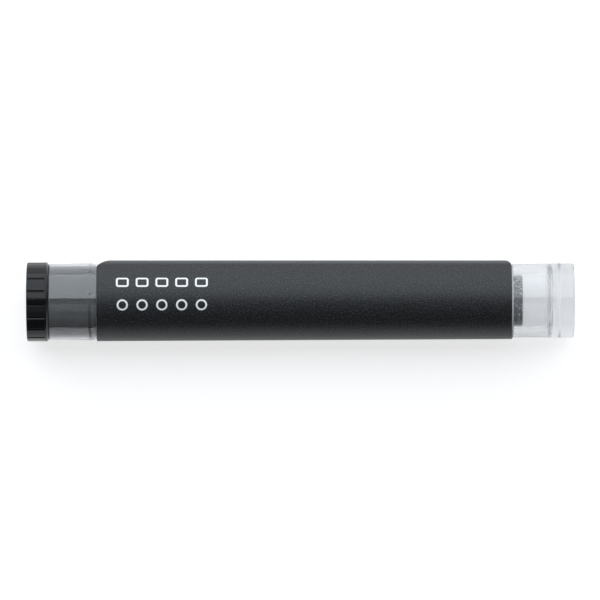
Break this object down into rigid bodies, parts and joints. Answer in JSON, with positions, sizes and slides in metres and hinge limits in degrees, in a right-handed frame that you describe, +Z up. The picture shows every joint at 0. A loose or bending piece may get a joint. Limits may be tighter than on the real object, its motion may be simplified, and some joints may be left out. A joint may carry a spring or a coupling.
{
  "type": "eraser refill tube",
  "caption": "Clear round tube holding a column of loose cylindrical erasers, closed by a fluted push-in stopper and wrapped in a black label.",
  "frame": {"origin": "middle of the tube's length, on the surface it lies on, straight under its axis", "axes": "+X along the tube's axis from the stopper to the foot, +Z up, which is also the way the label's front faces, +Y towards the label's lap"},
  "size_m": [0.073, 0.0108, 0.0107],
  "materials": {
    "clear_plastic": "clear natural polypropylene, moulded, faintly hazy",
    "black_plastic": "satin moulded black polyethylene",
    "label_card": "matt black printed label paper with a fine grain",
    "eraser_rubber": "dark grey rubber with pale specks"
  },
  "bodies": {
    "tube": {"tube": "clear_plastic", "label": "label_card"},
    "stopper": {"stopper": "black_plastic"},
    "eraser_1": {"eraser_1": "eraser_rubber"},
    "eraser_2": {"eraser_2": "eraser_rubber"},
    "eraser_3": {"eraser_3": "eraser_rubber"},
    "eraser_4": {"eraser_4": "eraser_rubber"},
    "eraser_5": {"eraser_5": "eraser_rubber"}
  },
  "joints": [
    {"name": "stopper_pull", "type": "slide", "parent": "tube", "child": "stopper", "axis": [-1, 0, 0], "range_m": [0, 0.015]},
    {"name": "eraser_1_slide", "type": "slide", "parent": "tube", "child": "eraser_1", "axis": [1, 0, 0], "range_m": [0, 0.0032]},
    {"name": "eraser_2_slide", "type": "slide", "parent": "tube", "child": "eraser_2", "axis": [1, 0, 0], "range_m": [0, 0.0032]},
    {"name": "eraser_3_slide", "type": "slide", "parent": "tube", "child": "eraser_3", "axis": [1, 0, 0], "range_m": [0, 0.0032]},
    {"name": "eraser_4_slide", "type": "slide", "parent": "tube", "child": "eraser_4", "axis": [1, 0, 0], "range_m": [0, 0.0032]},
    {"name": "eraser_5_slide", "type": "slide", "parent": "tube", "child": "eraser_5", "axis": [1, 0, 0], "range_m": [0, 0.0032]}
  ],
  "couplings": [
    {"joint": "eraser_2_slide", "follows": "eraser_1_slide", "ratio": 1},
    {"joint": "eraser_3_slide", "follows": "eraser_1_slide", "ratio": 1},
    {"joint": "eraser_4_slide", "follows": "eraser_1_slide", "ratio": 1},
    {"joint": "eraser_5_slide", "follows": "eraser_1_slide", "ratio": 1}
  ]
}
